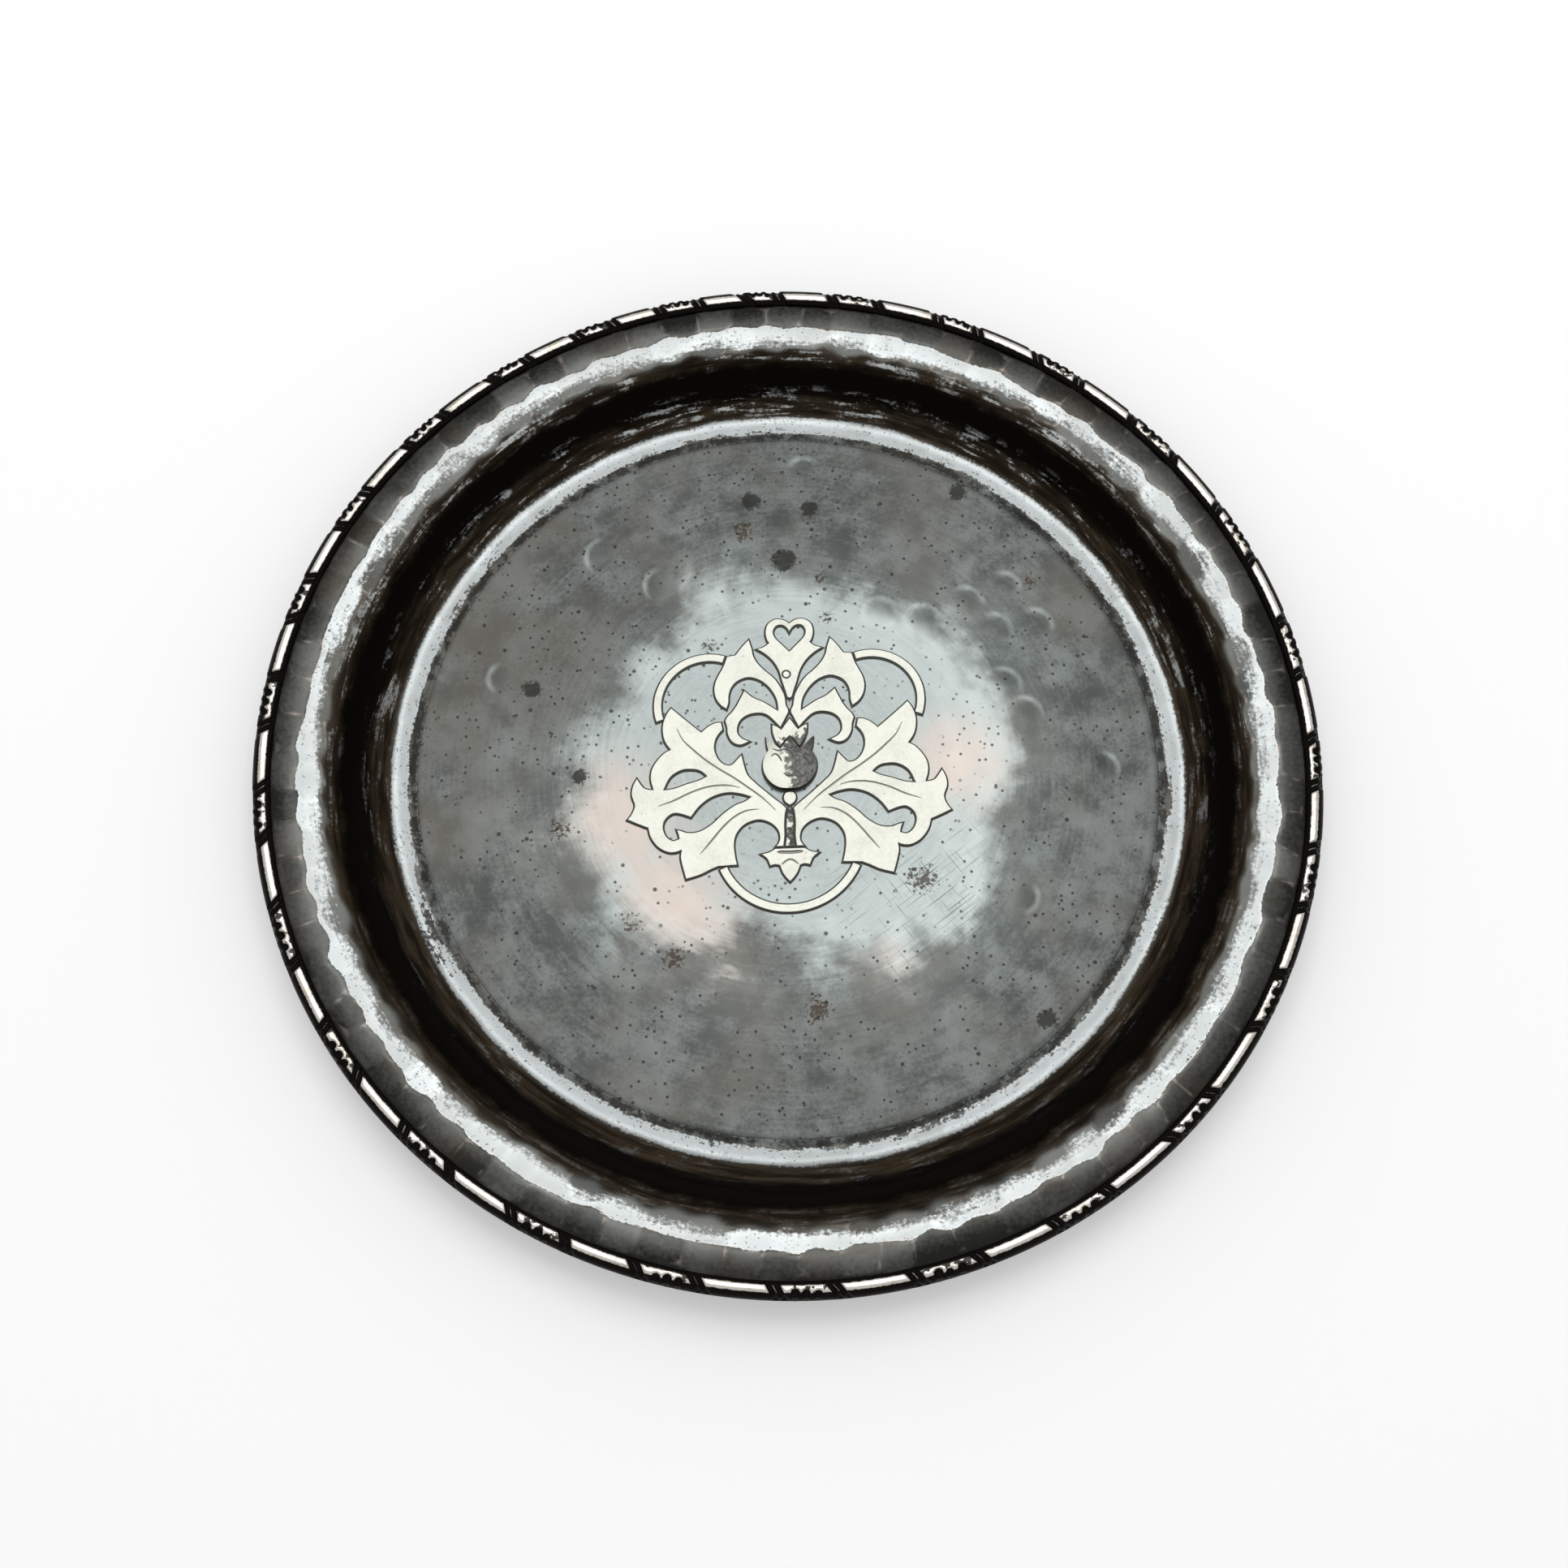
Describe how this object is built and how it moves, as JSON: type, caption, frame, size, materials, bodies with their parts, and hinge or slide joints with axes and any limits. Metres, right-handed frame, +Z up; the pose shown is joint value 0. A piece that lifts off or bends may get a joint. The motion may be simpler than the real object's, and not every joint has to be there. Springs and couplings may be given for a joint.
{
  "type": "copper dish",
  "caption": "Round shallow planished copper dish with a flat floor, S-shaped wall, half-round silver border on the lip and a pierced silver thistle overlay in the well.",
  "frame": {"origin": "centre of the flat underside, which stands on z = 0", "axes": "+Z up out of the well, +Y towards the thistle's crown, +X to the right of the thistle seen from above"},
  "size_m": [0.26, 0.2601, 0.0142],
  "materials": {
    "patinated_copper": "dark patinated hammered copper, satin, worn bright on the ridges",
    "border_silver": "soft polished silver, tarnished dark in the strokes and pits",
    "overlay_silver": "satin silver, dark in the chased lines and along the edges"
  },
  "bodies": {
    "root": {"dish_body": "patinated_copper", "rim_border": "border_silver", "crown_fleuron": "overlay_silver", "crown_leaf_left": "overlay_silver", "crown_leaf_right": "overlay_silver", "thistle_leaf_left": "overlay_silver", "thistle_leaf_right": "overlay_silver", "tendril_left": "overlay_silver", "tendril_right": "overlay_silver", "tendril_base": "overlay_silver", "thistle_tuft": "overlay_silver", "thistle_bud": "overlay_silver", "stem_bead": "overlay_silver", "thistle_stem": "overlay_silver", "foot_finial": "overlay_silver"}
  },
  "joints": []
}
